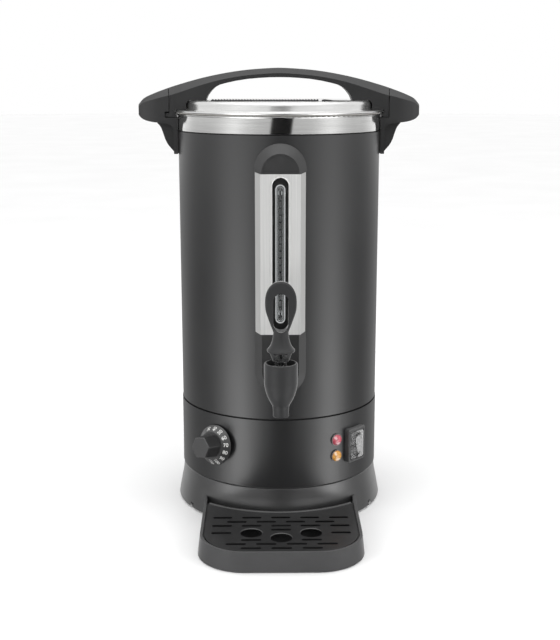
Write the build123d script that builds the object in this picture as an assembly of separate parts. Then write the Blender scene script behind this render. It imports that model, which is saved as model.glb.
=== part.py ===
from build123d import *
import os
from math import sin, cos, radians, sqrt

os.makedirs("parts", exist_ok=True)

# ---------------------------------------------------------------- dimensions
# Hot water urn. Millimetres, +Z up, front faces -Y, origin on the urn's axis
# at table height.
R = 120.0            # outer shell radius
T_SHELL = 0.8        # painted steel shell
Z_SEAM = 130.1       # joint between upper shell and base shell
GAP_SEAM = 0.9       # half the height of the shadow gap there
Z_BAND = 455.0       # top of the painted shell, bottom of the steel rim
Z_RIM = 475.0        # top of the rolled rim
R_TANK = 112.0       # inner tank, inside radius
Z_TANK = 140.0       # underside of the tank bottom
R_BASE = 120.6       # base shell radius
Z_BASE = 47.3        # bottom of the base shell, a shadow gap above the skirt
GAP_SKIRT = 1.8      # height of that gap
R_SKIRT_BOT, Z_SKIRT_BOT = 126.5, 2.0
R_FLANGE = 123.0     # lid flange
R_LID = 109.0        # lid raised wall
Z_LID = 490.0        # lid top
R_SEAM = 130.4       # end of the lid handle
R_EAR_IN = 131.2     # inner face of the carrying handles
AZ_KNOB, AZ_LAMP, AZ_SWITCH = -37.5, 33.2, 46.5   # azimuth from the front, + to the right
Z_KNOB = 93.0
KNOB_TILT = 8.0      # the dial's axis leans up by this much
TAP_Y = -166.0       # tap axis
TAP_Z = 183.0        # height of the tap's inlet
HINGE_Y, HINGE_Z = -174.0, 216.0                  # tap lever pin
GAUGE_Y = -128.0     # front of the gauge housing
TRAY_Z = 24.5        # drip tray rim


# ---------------------------------------------------------------- helpers
def ring(pts):
    """Solid of revolution about Z of a closed (r, z) polygon."""
    return revolve(Plane.XZ * make_face(Polyline(*pts, close=True)), Axis.Z)


def tube(ro, ri, z0, z1, x=0.0, y=0.0):
    s = Pos(x, y, (z0 + z1) / 2) * Cylinder(ro, z1 - z0)
    if ri > 0:
        s -= Pos(x, y, (z0 + z1) / 2) * Cylinder(ri, z1 - z0 + 2)
    return s


def box(x0, x1, y0, y1, z0, z1):
    return Pos((x0 + x1) / 2, (y0 + y1) / 2, (z0 + z1) / 2) * Box(x1 - x0, y1 - y0, z1 - z0)


def front(az, d, z):
    """Plane facing outward at azimuth az, distance d from the axis, height z."""
    a = radians(az)
    return Plane(origin=(d * sin(a), -d * cos(a), z), x_dir=(cos(a), sin(a), 0), z_dir=(sin(a), -cos(a), 0))


def rad_cyl(az, z, r, d0, d1):
    """Cylinder along the outward direction at azimuth az, from distance d0 to d1."""
    return front(az, (d0 + d1) / 2, z) * Cylinder(r, d1 - d0)


def ycyl(r, y0, y1, x, z):
    return Plane(origin=(x, (y0 + y1) / 2, z), x_dir=(1, 0, 0), z_dir=(0, -1, 0)) * Cylinder(r, abs(y1 - y0))


def xcyl(r, x0, x1, y, z):
    return Plane(origin=((x0 + x1) / 2, y, z), x_dir=(0, 1, 0), z_dir=(1, 0, 0)) * Cylinder(r, abs(x1 - x0))


def xz_prism(pts, y0, y1):
    """Extrude a closed (x, z) polygon along Y."""
    f = Plane.XZ * make_face(Polyline(*pts, close=True))
    return Pos(0, y1, 0) * extrude(f, amount=(y1 - y0))


def xy_prism(pts, z0, z1):
    f = make_face(Polyline(*pts, close=True))
    return Pos(0, 0, z0) * extrude(f, amount=(z1 - z0))


def solids(*parts):
    out = []
    for p in parts:
        out += p.solids()
    return out


def save(name, *parts):
    s = solids(*parts)
    shape = s[0] if len(s) == 1 else Compound(children=s)
    shape.label = name
    export_step(shape, f"parts/{name}.step")


def sector(r0, r1, z0, z1, y_half, side):
    """Part of a ring lying within |y| < y_half on the +X (side=1) or -X side."""
    s = tube(r1, r0, z0, z1)
    b = box(0, r1 + 5, -y_half, y_half, z0, z1) if side > 0 else box(-r1 - 5, 0, -y_half, y_half, z0, z1)
    return s & b


# ---------------------------------------------------------------- outer shell
shell = ring([(R - T_SHELL, Z_SEAM + GAP_SEAM), (R, Z_SEAM + GAP_SEAM), (R, Z_BAND - 0.4), (R - T_SHELL, Z_BAND - 0.4)])
# window behind the level gauge, tap hole, carrying-handle screw holes
shell -= box(-13, 13, -R - 5, -R + 12, 232, 416)
shell -= ycyl(9.5, -R - 5, -R + 12, 0, TAP_Z)
EAR_SCREWS = [(-11, 437.0), (11, 437.0)]
for side in (1, -1):
    for y, z in EAR_SCREWS:
        shell -= xcyl(2.7, side * (R - 12), side * (R + 6), y, z)
save("outer_shell", shell)

# ---------------------------------------------------------------- inner tank
rt = R_TANK
t = 0.8
tank = ring([
    (0, Z_TANK), (rt - 6, Z_TANK), (rt - 2.2, Z_TANK + 1.4), (rt + t - 0.6, Z_TANK + 4.4), (rt + t, Z_TANK + 7),
    (rt + t, 449.2), (120.2, 456.0), (120.2, 474.0),
    (119.3, 474.0), (119.3, 456.5), (rt, 449.6),
    (rt, Z_TANK + 7.2), (rt - 0.6, Z_TANK + 4.9), (rt - 2.8, Z_TANK + 2.1), (rt - 6.2, Z_TANK + t), (0, Z_TANK + t)])
tank += Pos(0, 0, 474.0) * Torus(120.0, 1.0)
# tap inlet and two gauge ports
tank -= ycyl(8.3, -R_TANK - 4, -R_TANK + 6, 0, TAP_Z)
GAUGE_PORTS = (256.0, 392.0)
for z in GAUGE_PORTS:
    tank -= ycyl(5.3, -R_TANK - 4, -R_TANK + 6, 0, z)
save("inner_tank", tank)

# plastic ring that centres the shells on the tank
tank_ring = ring([(113.4, 141.5), (119.0, 141.5), (119.0, 132.6), (117.0, 131.8), (117.0, 128.0), (118.0, 127.6), (118.0, 118.0), (115.6, 118.0),
                  (115.6, 126.0), (114.8, 127.0), (114.8, 136.0), (113.4, 136.0)])
save("tank_ring", tank_ring)

# ---------------------------------------------------------------- base shell
base = ring([(R_BASE - 0.8, Z_BASE), (R_BASE, Z_BASE), (R_BASE, Z_SEAM - GAP_SEAM), (118.4, Z_SEAM - GAP_SEAM),
             (118.4, Z_SEAM - GAP_SEAM - 0.8), (R_BASE - 0.8, Z_SEAM - GAP_SEAM - 0.8)])
base -= rad_cyl(AZ_KNOB, Z_KNOB, 4.6, 105, 130)
Z_SWITCH = Z_KNOB - 3.4
base -= front(AZ_SWITCH, 118, Z_SWITCH) * Box(22.6, 30.4, 20)
LAMP_Z = (99.8, 80.0)
for z in LAMP_Z:
    base -= rad_cyl(AZ_LAMP, z, 5.3, 105, 130)
GLAND_Z = 74.0
base -= rad_cyl(180, GLAND_Z, 8.2, 105, 130)
save("base_shell", base)


# ---------------------------------------------------------------- skirt
SKIRT = [(44.8, 119.4), (41.5, 119.9), (34.0, 120.7), (29.0, 121.5), (22.0, 123.0), (15.7, 124.2), (9.0, 125.4), (2.9, 126.4)]


def r_skirt(z):
    """Outer radius of the skirt at height z."""
    pts = SKIRT
    for (z1, r1), (z0, r0) in zip(pts, pts[1:]):
        if z0 <= z <= z1:
            return r0 + (r1 - r0) * (z - z0) / (z1 - z0)
    return pts[0][1] if z > pts[0][0] else pts[-1][1]


Z_SK = Z_BASE - GAP_SKIRT
skirt = ring([(117.6, Z_SK), (118.7, Z_SK)] + [(r, z) for z, r in SKIRT] + [
    (R_SKIRT_BOT - 0.8, Z_SKIRT_BOT), (R_SKIRT_BOT - 2.6, Z_SKIRT_BOT), (r_skirt(12) - 2.6, 12), (r_skirt(29) - 2.6, 29), (r_skirt(40) - 2.6, 39.6),
    (104, 39.6), (104, 42.2), (115.2, 42.2), (115.2, 50.0), (116.4, 51.2), (116.4, 57.5), (119.0, 57.5), (119.0, 49.8), (117.6, 49.0)])
POST = [(112 * cos(radians(a)), 112 * sin(radians(a))) for a in (22, 158, 202, 338)]
for x, y in POST:
    skirt += tube(4.6, 0, 9.5, 41.0, x, y)
    skirt -= tube(1.75, 0, 9.0, 34.0, x, y)
# small vent notches in the lower rim
for a in (-58.7, 61.3, -118.7, 121.3):
    skirt -= front(a, 125, Z_SKIRT_BOT) * Box(6.6, 12.0, 12)
# opening in the rim for the drip tray's tongue
skirt -= box(-33, 33, -135, -112, 0, 8.2)
save("base_skirt", skirt)

# ---------------------------------------------------------------- base plate
plate = tube(122.2, 0, 8.6, 9.4)
plate -= tube(3.2, 0, 8, 10)
for x, y in POST:
    plate -= tube(2.0, 0, 8, 10, x, y)
FEET = [(95 * cos(radians(a)), 95 * sin(radians(a))) for a in (45, 135, 225, 315)]
for x, y in FEET:
    plate -= tube(3.2, 0, 8, 10, x, y)
RESET = (30.0, 38.0)
plate -= tube(4.6, 0, 8, 10, *RESET)
for k in range(5):
    for sx in (-1, 1):
        x = sx * (44 + 9 * k)
        plate -= Pos(x, 0, 9) * Box(3.2, 34 - 2.5 * k, 4)
save("base_plate", plate)

feet = []
for x, y in FEET:
    f = ring([(0, 0), (8.2, 0), (9.2, 1.0), (9.8, 8.5), (0, 8.5)])
    f += tube(3.1, 0, 8.4, 9.6) + tube(4.6, 0, 9.5, 11.6)
    feet.append(Pos(x, y, 0) * f)
centre = ring([(0, 0), (9.8, 0), (11.0, 1.2), (11.6, 8.5), (8.2, 8.5), (8.2, 2.2), (0, 2.2)])
feet.append(centre)
save("feet", *feet)

save("base_screws", *[Pos(x, y, 0) * ring([(0, 6.6), (2.6, 6.6), (3.4, 7.4), (3.4, 8.5), (1.6, 8.5), (1.6, 30), (0, 31.4)]) - Pos(x, y, 6.9) * Box(0.9, 4.4, 1.2)
                      for x, y in POST])

# ---------------------------------------------------------------- tie rod
save("tie_rod", tube(3.0, 0, 3.0, 136.2) + tube(9.0, 0, 134.4, 136.4))
nut = extrude(RegularPolygon(5.6, 6, major_radius=False), amount=5.0) - Pos(0, 0, 2) * Cylinder(3.05, 12)
save("tie_nut", Pos(0, 0, 3.4) * nut)

# ---------------------------------------------------------------- heater
save("heat_spreader", tube(90, 0, 136.6, 139.8))
# open at the rear, where the element's ends turn down
GAP = 9.0
sec = Plane(origin=(70 * sin(radians(GAP)), 70 * cos(radians(GAP)), 133.0), x_dir=(sin(radians(GAP)), cos(radians(GAP)), 0),
            z_dir=(cos(radians(GAP)), -sin(radians(GAP)), 0)) * Circle(3.4)
element = revolve(sec, Axis.Z, 2 * GAP - 360)
for sx in (-1, 1):
    ex, ey = sx * 70 * sin(radians(GAP)), 70 * cos(radians(GAP))
    element += Pos(ex, ey, 132.7) * Sphere(3.7)
    element += tube(3.3, 0, 117, 132, ex, ey)
    element += tube(1.4, 0, 109, 118, ex, ey)
save("heating_element", element)

cut = tube(13, 0, 122, 136.3, *RESET) + box(RESET[0] - 3, RESET[0] + 3, RESET[1] - 16, RESET[1] + 16, 123, 124)
cut += tube(5.6, 0, 12.4, 122, *RESET)
cut = cut - tube(2.58, 0, 11, 120, *RESET)
save("cutout_body", cut)
button = tube(2.5, 0, 14.2, 118.0, *RESET) + tube(3.9, 0, 6.9, 10.2, *RESET) + tube(2.5, 0, 10, 15, *RESET)
save("reset_button", button)

# ---------------------------------------------------------------- carrying handles
EAR = [  # x, top z, bevel height, bottom z, half width, top half width
    (118.0, 508.4, 9.6, 464.2, 19.0, 9.0),
    (124.5, 506.4, 9.2, 464.2, 19.0, 9.2),
    (131.0, 504.3, 8.7, 464.2, 18.9, 9.4),
    (138.0, 501.8, 8.0, 464.3, 18.6, 9.6),
    (145.0, 499.2, 7.2, 464.6, 18.0, 9.6),
    (152.0, 496.3, 6.3, 465.6, 16.8, 9.4),
    (158.0, 493.4, 5.2, 467.2, 15.2, 9.0),
    (162.6, 489.6, 3.8, 469.6, 13.2, 8.4),
    (166.0, 485.6, 2.4, 473.4, 10.6, 7.4),
]


def slab(stations):
    faces = []
    for x, zt, hb, zb, w, wt in stations:
        pl = Plane(origin=(x, 0, 0), x_dir=(0, 1, 0), z_dir=(1, 0, 0))
        faces.append(pl * make_face(Polyline((-w, zb), (w, zb), (w, zt - hb), (wt, zt), (-wt, zt), (-w, zt - hb), close=True)))
    return loft(faces)


PLATE_BOT = 427.4
ear = slab(EAR)
ear -= tube(R_EAR_IN, 0, 470.3, 520)
# mounting plate against the shell, with a central gusset
mount_plate = box(110, 124.6, -19, 19, PLATE_BOT, 466)
mount_plate = fillet(mount_plate.edges().filter_by(Axis.X).group_by(Axis.Z)[0], 5.0)
web = [(123.5, 467), (143.0, 467), (144.4, 463.6), (142.3, 461.5), (140, 458.2), (137.8, 452.2), (135.6, 445),
       (133.2, 440), (130.9, 436.6), (128.6, 434), (126, 431), (123.5, 428.4)]
gusset = xz_prism(web, -9.5, 9.5)
# soft transition where the plate turns out under the grip
roll = xz_prism([(124.0, 455), (124.0, 466), (141, 466), (141, 463.9), (133, 463.3), (128.2, 461.6), (125.4, 458.6)], -19, 19)
ear = ear + mount_plate + gusset + roll
ear -= tube(R + 1.2, 0, 400, 471)
# slot for the lid's locking tongue
ear -= (tube(135.8, 125, 470.2, 477.2) & box(100, 140, 10.8, 30, 465, 480))
for y, z in EAR_SCREWS:
    ear -= xcyl(2.15, R, R + 4.4, y, z)
ear_right = ear
ear_left = ear.rotate(Axis.Z, 180)
save("ear_right", ear_right)
save("ear_left", ear_left)

pads = []
for side in (1, -1):
    p = sector(R + 0.05, R + 1.15, PLATE_BOT + 1.0, 469.6, 18.0, side)
    p -= box(side * 110 if side > 0 else -130, 130 if side > 0 else -110, -18, 18, Z_BAND - 0.6, 475)
    for y, z in EAR_SCREWS:
        p -= xcyl(2.6, side * (R - 4), side * (R + 6), y, z)
    pads.append(p)
save("ear_pads", *pads)

screws = []
for side in (1, -1):
    for y, z in EAR_SCREWS:
        screws.append(xcyl(2.05, side * (R - 3.2), side * (R + 4.0), y, z)
                      + xcyl(4.2, side * (R - 4.6), side * (R - 2.4), y, z))
save("ear_screws", *screws)

# ---------------------------------------------------------------- level gauge
G_W, G_IN = 29.1, 21.0       # half width overall, half width of the flat front
G_TOP, G_BOT = 414.4, 189.0  # centres of the flat's round top and bottom
G_TOPO = 417.1               # centre of the outer round top
P_W, P_IN = 28.1, 22.3       # the steel face plate's half width and the half width of its flat
G_BACK = -112.0


def stadium(w, z_lo, z_hi):
    """Upright face with round ends of radius w centred at z_lo and z_hi (local x, z)."""
    return (Pos(0, (z_lo + z_hi) / 2) * Rectangle(2 * w, z_hi - z_lo)) + Pos(0, z_lo) * Circle(w) + Pos(0, z_hi) * Circle(w)


def front_face(w, z_lo, z_hi, y):
    return Plane(origin=(0, y, 0), x_dir=(1, 0, 0), z_dir=(0, -1, 0)) * stadium(w, z_lo, z_hi)


outer_prism = extrude(front_face(G_W, G_BOT, G_TOPO, G_BACK), amount=(-GAUGE_Y - 7.0) - (-G_BACK))
cap_bevel = loft([front_face(G_W, G_BOT, G_TOPO, GAUGE_Y + 7.0).faces()[0], front_face(G_IN, G_BOT, G_TOP, GAUGE_Y).faces()[0]], ruled=True)
housing = outer_prism + cap_bevel
housing -= tube(R + 0.3, 0, 150, 460)
# channel for the sight tube, closed at the back, passes through the shell window
CH_W, CH_LO, CH_HI = 9.6, 246.0, 402.0
channel_out = extrude(front_face(11.6, CH_LO, CH_HI, -113.4), amount=12)
housing += channel_out
housing -= extrude(front_face(CH_W, CH_LO, CH_HI, -114.7), amount=20)
# recess of the face plate: 0.9 deep over the front and bevels between its ends
PLATE_LO, PLATE_HI = 233.0, 413.3


def plate_form(inset, y0):
    """Body with the face plate's outline, drawn in by inset, from depth y0 to the front."""
    f = front_face(P_W - inset, G_BOT, G_TOPO, y0)
    prism = extrude(f, amount=(-GAUGE_Y - 6.6 - inset * 0.5) - (-y0))
    top = loft([front_face(P_W - inset, G_BOT, G_TOPO, GAUGE_Y + 6.6 + inset * 0.5).faces()[0],
                front_face(P_IN - inset * 0.5, G_BOT, G_TOPO, GAUGE_Y + inset).faces()[0]], ruled=True)
    return prism + top


keep = plate_form(0.9, -100.0)
band = xz_prism([(-P_IN, PLATE_LO), (P_IN, PLATE_LO), (31, PLATE_LO + 3.5), (31, PLATE_HI + 2.85), (P_IN, PLATE_HI),
                 (-P_IN, PLATE_HI), (-31, PLATE_HI + 2.85), (-31, PLATE_LO + 3.5)], -140, -90)
housing = (housing - band) + (housing & band & keep)
# shallow recess inside the round top
housing -= extrude(front_face(19.5, G_TOP, G_TOP, GAUGE_Y + 0.8), amount=4) & box(-30, 30, -140, -100, PLATE_HI + 2.0, 460)
# tap shank passage, port passages
housing -= ycyl(8.3, -140, -100, 0, TAP_Z)
housing -= ycyl(12.05, -140, -124, 0, TAP_Z)
for z in GAUGE_PORTS:
    housing -= ycyl(3.5, -118, -110, 0, z)
save("gauge_housing", housing)

# folded steel face plate with a lipped slot
cover = (plate_form(0.0, G_BACK) & band) - plate_form(0.8, -100.0)
cover -= tube(R + 0.9, 0, 150, 460)
SL_LO, SL_HI = 247.6, 400.4
cover += extrude(front_face(12.0, SL_LO, SL_HI, GAUGE_Y + 0.4), amount=1.0)
cover -= extrude(front_face(9.0, SL_LO, SL_HI, -110), amount=25)
# bevel the slot's lip
cover -= loft([front_face(9.0, SL_LO, SL_HI, GAUGE_Y + 0.1).faces()[0], front_face(10.3, SL_LO, SL_HI, GAUGE_Y - 0.7).faces()[0]], ruled=True)
save("gauge_faceplate", cover)

# sight tube: closed round ends, two side ports into the tank
TUBE_Y, TUBE_R, BORE_R = -120.9, 5.6, 3.35
T_LO, T_HI = 250.4, 395.8
glass = tube(TUBE_R, 0, T_LO, T_HI, 0, TUBE_Y) + Pos(0, TUBE_Y, T_LO) * Sphere(TUBE_R) + Pos(0, TUBE_Y, T_HI) * Sphere(TUBE_R)
for z in GAUGE_PORTS:
    glass += ycyl(3.2, TUBE_Y, -107.6, 0, z)
bore = tube(BORE_R, 0, T_LO, T_HI, 0, TUBE_Y) + Pos(0, TUBE_Y, T_LO) * Sphere(BORE_R) + Pos(0, TUBE_Y, T_HI) * Sphere(BORE_R)
for z in GAUGE_PORTS:
    bore += ycyl(1.8, TUBE_Y, -105, 0, z)
save("gauge_tube", glass - bore)
save("gauge_stripe", box(-1.15, 1.15, TUBE_Y + 2.5, TUBE_Y + 2.9, T_LO, T_HI))
seals = []
for z in GAUGE_PORTS:
    s = (ycyl(5.2, -112.9, -110.0, 0, z) + (ycyl(7.4, -112.4, -109.4, 0, z) & tube(111.95, 0, z - 10, z + 10))
         - ycyl(3.25, -116, -100, 0, z))
    seals.append(s)
save("gauge_seals", *seals)

# ---------------------------------------------------------------- tap
TZ = TAP_Z
shroud = ring([
    (17.6, 210.4), (18.3, 209.7), (18.6, 208.0), (18.6, 188.0), (18.2, 184.0), (17.3, 179.6), (15.6, 173.8), (13.6, 169.2), (11.4, 165.2),
    (9.7, 162.0), (9.1, 159.0), (8.8, 154.0), (8.9, 149.8), (8.4, 149.2),
    (7.0, 149.2), (7.0, 159.8), (8.4, 163.6), (11.2, 168.2), (13.4, 173.0), (15.2, 179.6), (16.1, 184.6), (16.4, 188.4), (16.4, 210.4)])
neck_out = ycyl(12.0, -148, -124.1, 0, TZ)
shroud = Pos(0, TAP_Y, 0) * shroud
neck = neck_out - Pos(0, TAP_Y, 0) * tube(17.5, 0, 140, 230)
shroud = shroud + neck
shroud -= ycyl(9.4, -160, -118, 0, TZ)
save("tap_shroud", shroud)

valve = ring([(11.0, 197.6), (11.0, 170.5), (6.6, 163.5), (6.6, 150.0), (4.8, 150.0), (4.8, 171.0), (8.6, 171.0), (8.6, 197.6)])
valve = Pos(0, TAP_Y, 0) * valve
valve += ycyl(8.9, -158.0, -150.6, 0, TZ) - Pos(0, TAP_Y, 0) * tube(8.6, 0, 171, 200)
valve -= ycyl(5.5, -166.0, -145.0, 0, TZ)
valve -= ycyl(7.9, -153.6, -145.0, 0, TZ)
save("tap_body", valve)

shank = ycyl(7.8, -153.4, -103.0, 0, TZ) - ycyl(5.5, -156, -100, 0, TZ)
save("tap_shank", shank)
hexn = Plane(origin=(0, -110.2, TZ), x_dir=(1, 0, 0), z_dir=(0, 1, 0)) * extrude(RegularPolygon(11.0, 6, major_radius=False), amount=5.0)
save("tap_nut", hexn - ycyl(7.85, -120, -100, 0, TZ))
w1 = ycyl(11.4, -111.9, -110.3, 0, TZ) - ycyl(7.85, -120, -100, 0, TZ)
w1 -= tube(130, 111.95, 160, 210)
w2 = ycyl(9.4, -119.0, -112.9, 0, TZ) - ycyl(7.85, -120, -100, 0, TZ)
w2 -= tube(112.85, 0, 160, 210)
save("tap_washers", w1, w2)

# bonnet: screwed collar, neck, and two cheeks either side of a through slot
bonnet = ring([
    (11.1, 192.6), (13.4, 192.6), (13.8, 193.4), (13.8, 203.0), (12.8, 204.4), (6.4, 204.8), (6.4, 212.0), (9.0, 213.0),
    (12.5, 222.0), (12.5, 223.2), (2.15, 223.2), (2.15, 198.4), (11.1, 198.4)])
bonnet = Pos(0, TAP_Y, 0) * bonnet
bonnet -= box(-3.3, 3.3, TAP_Y - 16, TAP_Y + 16, 205.6, 225)
bonnet -= box(-7.6, 7.6, TAP_Y - 16, TAP_Y - 6.5, 220.8, 225)
bonnet -= xcyl(1.55, -14, 14, HINGE_Y, HINGE_Z)
for k in range(12):
    a = 30 * k
    bonnet -= Pos(14.6 * cos(radians(a)), TAP_Y + 14.6 * sin(radians(a)), 197.4) * Cylinder(1.3, 14)
save("tap_bonnet", bonnet)
save("lever_pin", xcyl(1.5, -6.6, 6.6, HINGE_Y, HINGE_Z))

# lever: skirted cone, neck and a teardrop loop
cone_in = Polyline((0, 256.0), (0, 231.2), (7.0, 230.6), (9.8, 228.8), (12.6, 226.3), (13.7, 224.4), (13.7, 223.0), (14.0, 223.0),
                   (14.9, 223.2), (15.4, 224.0), (15.4, 225.3))
cone_out = Spline((15.4, 225.3), (14.0, 226.9), (12.2, 229.3), (10.8, 232.2), (9.8, 235.4), (9.0, 239.5), (8.5, 243.5), (7.8, 248.5), (6.4, 252.4))
cone_tip = Polyline((6.4, 252.4), (4.4, 254.6), (0, 256.0))
cone = revolve(Plane.XZ * make_face([*cone_in.edges(), *cone_out.edges(), *cone_tip.edges()]), Axis.Z)
cone = Pos(0, TAP_Y, 0) * cone
side_pts = [(8.0, 244.6), (10.5, 251.5), (12.8, 257.3), (14.8, 263.0), (16.6, 269.5), (17.2, 277.0), (16.7, 285.0), (14.6, 291.6), (10.3, 297.4), (5.4, 300.4), (0, 301.3)]
edge_r = Spline(*side_pts)
edge_l = Spline(*[(-x, z) for x, z in side_pts])
loop_face = make_face([edge_r, edge_l, Line((-8.0, 244.6), (8.0, 244.6))])
loop = Plane(origin=(0, TAP_Y + 3.6, 0), x_dir=(1, 0, 0), z_dir=(0, -1, 0)) * extrude(loop_face, amount=7.2)
loop_edges = [e for e in loop.edges() if e.length > 40]
try:
    loop = chamfer(loop_edges, 1.6)
except Exception as exc:
    print("loop edge left sharp", exc)
lever = cone + loop
hole = Plane(origin=(0, TAP_Y + 16, 0), x_dir=(1, 0, 0), z_dir=(0, -1, 0)) * extrude(stadium(8.1, 254.2, 279.6), amount=32)
lever -= hole
flare = Plane(origin=(0, TAP_Y - 3.65, 0), x_dir=(1, 0, 0), z_dir=(0, -1, 0))
lever -= loft([(Plane(origin=(0, TAP_Y - 2.4, 0), x_dir=(1, 0, 0), z_dir=(0, -1, 0)) * stadium(8.0, 254.2, 279.6)).faces()[0],
               (Plane(origin=(0, TAP_Y - 4.0, 0), x_dir=(1, 0, 0), z_dir=(0, -1, 0)) * stadium(9.6, 254.2, 279.6)).faces()[0]], ruled=True)
# forked tongue reaching down to the hinge pin and the stem link
for sx in (1, -1):
    cheek = box(min(sx * 1.55, sx * 3.0), max(sx * 1.55, sx * 3.0), HINGE_Y - 3.0, TAP_Y + 2.6, HINGE_Z - 2.6, 229.0)
    lever += cheek
lever -= xcyl(1.56, -5, 5, HINGE_Y, HINGE_Z)
lever -= xcyl(1.22, -5, 5, TAP_Y, HINGE_Z)
save("tap_lever", lever)
save("link_pin", xcyl(1.2, -3.0, 3.0, TAP_Y, HINGE_Z))

stem = tube(2.05, 0, 178.6, 212.2, 0, TAP_Y) + tube(3.4, 0, 176.0, 179.6, 0, TAP_Y)
stem += box(-1.2, 1.2, TAP_Y - 3.6, TAP_Y + 3.0, 211.6, 219.2)
link = Plane(origin=(-3, TAP_Y - 0.55, HINGE_Z), x_dir=(0, 1, 0), z_dir=(1, 0, 0)) * extrude(SlotOverall(3.9, 2.7), amount=6)
stem -= link
save("tap_stem", stem)
cup = ring([(0, 172.0), (5.4, 171.4), (7.4, 171.6), (7.4, 173.6), (6.0, 175.4), (5.2, 179.4), (3.5, 180.6), (3.5, 175.9), (0, 175.9)])
save("seat_cup", Pos(0, TAP_Y, 0) * cup)
spring = Pos(0, TAP_Y, 181.6) * sweep((Plane(origin=(5.6, 0, 0), x_dir=(1, 0, 0), z_dir=(0, 1, 0)) * Circle(0.6)), path=Helix(3.1, 15.6, 5.6), is_frenet=True)
save("tap_spring", spring)

# ---------------------------------------------------------------- thermostat
def dial(d):
    """Plane across the dial's axis at distance d from the urn's axis."""
    a, tl = radians(AZ_KNOB), radians(KNOB_TILT)
    n2 = (sin(a) * cos(tl), -cos(a) * cos(tl), sin(tl))
    o = (122 * sin(a) + n2[0] * (d - 122), -122 * cos(a) + n2[1] * (d - 122), Z_KNOB + n2[2] * (d - 122))
    return Plane(origin=o, x_dir=(cos(a), sin(a), 0), z_dir=n2)


def dial_cyl(r, d0, d1):
    return dial((d0 + d1) / 2) * Cylinder(r, d1 - d0)


tb = dial(95) * Box(34, 36, 30)
tb += dial_cyl(4.5, 108, 119.2)
tb -= dial_cyl(3.06, 100, 130)
save("thermostat_body", tb)
tn = dial(115.4) * extrude(RegularPolygon(6.6, 6, major_radius=False), amount=2.4)
save("thermostat_nut", tn - dial_cyl(4.55, 100, 130))
save("thermostat_shaft", dial_cyl(3.0, 101, 138) - dial(134) * (Pos(0, 3.4, 0) * Box(8, 2.4, 10)))
kn = dial(0)
skirt_profile = [(0, 123.6), (17.0, 123.6), (23.2, 125.4), (23.7, 125.7), (23.7, 126.0), (23.2, 126.6), (16.4, 133.4), (0, 133.4)]
k1 = revolve(Plane(origin=(0, 0, 0), x_dir=(1, 0, 0), z_dir=(0, -1, 0)) * make_face(Polyline(*skirt_profile, close=True)), Axis.Z)
hexa = loft([Pos(0, 0, 132.6) * RegularPolygon(14.9, 6, rotation=10).faces()[0],
             Pos(0, 0, 153.0) * RegularPolygon(13.4, 6, rotation=10).faces()[0]], ruled=True)
hexa = fillet(hexa.edges().filter_by(lambda e: abs(e.tangent_at(0.5).Z) > 0.6), 2.6)
hexa = chamfer(hexa.edges().group_by(Axis.Z)[-1], 0.9)
knob = k1 + hexa
knob -= Pos(0, 0, 130) * Cylinder(3.05, 17)
knob -= tube(16.0, 7.0, 121, 125.0)
save("thermostat_knob", kn * knob)

# capillary and bulb clipped under the heat spreader
n = Vector(sin(radians(AZ_KNOB)), -cos(radians(AZ_KNOB)), 0)
p0 = Vector(n.X * 86, n.Y * 86, 106)
cap_path = FilletPolyline(p0, Vector(n.X * 86, n.Y * 86, 126), Vector(n.X * 50, n.Y * 50, 126), Vector(-6, -34, 126), Vector(-6, -34, 131.5), Vector(20, -34, 131.5), radius=4)
capil = sweep((Plane(origin=cap_path @ 0, z_dir=cap_path % 0) * Circle(0.9)), path=cap_path)
bulb = Plane(origin=(45, -34, 132.6), x_dir=(0, 1, 0), z_dir=(1, 0, 0)) * Cylinder(3.0, 52)
save("thermostat_bulb", capil + bulb)

# ---------------------------------------------------------------- switch and lamps
ZS = Z_SWITCH
sw = front(AZ_SWITCH, 0, ZS)
body = sw * (Pos(0, 0, 106.0) * Box(21.8, 29.4, 30) - Pos(0, 0, 118.6) * Box(19.4, 26.6, 20))
body -= sw * (Plane(origin=(0, 0, 117.0), x_dir=(0, 1, 0), z_dir=(1, 0, 0)) * Cylinder(1.55, 40))
for sx, sy in ((-1, 1), (1, 1), (-1, 0), (1, 0), (-1, -1), (1, -1)):
    body += sw * (Pos(sx * 6.5, sy * 9.0, 87.0) * Box(0.8, 6.3, 10))
save("switch_body", body)
fr = Pos(0, 0, 122.6) * Box(30.0, 40.6, 8.8)
fr = fillet(fr.edges().filter_by(Axis.Z), 2.4)
fr = chamfer(fr.faces().sort_by(Axis.Z)[-1].edges(), 1.0)
fr -= Pos(0, -0.6, 124.9) * Box(24.6, 34.2, 20)
fr += Pos(0, 0, 121.9) * Box(27.0, 38.0, 0.9) - Pos(0, 0, 121.9) * Box(20.4, 27.6, 4)
save("switch_frame", sw * fr - tube(R_BASE + 0.05, 0, 50, 130))
rk = Plane.YZ * make_face(Polyline((-11.6, 114.6), (11.6, 114.6), (11.9, 121.9), (11.1, 123.3), (0.0, 120.6), (-11.1, 119.3), (-11.9, 118.3), close=True))
rk = Pos(-8.6, 0, 0) * extrude(rk, amount=17.2)
rk = rk + Plane(origin=(-8.6, 0, 117.0), x_dir=(0, 1, 0), z_dir=(1, 0, 0)) * Pos(0, 0, 8.6) * Cylinder(5.2, 17.2)
rk -= Plane(origin=(0, 0, 117.0), x_dir=(0, 1, 0), z_dir=(1, 0, 0)) * Cylinder(1.56, 40)
save("switch_rocker", sw * rk)
axle = Plane(origin=(0, 0, 117.0), x_dir=(0, 1, 0), z_dir=(1, 0, 0)) * Cylinder(1.5, 20.4)
save("switch_axle", sw * axle)
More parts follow.
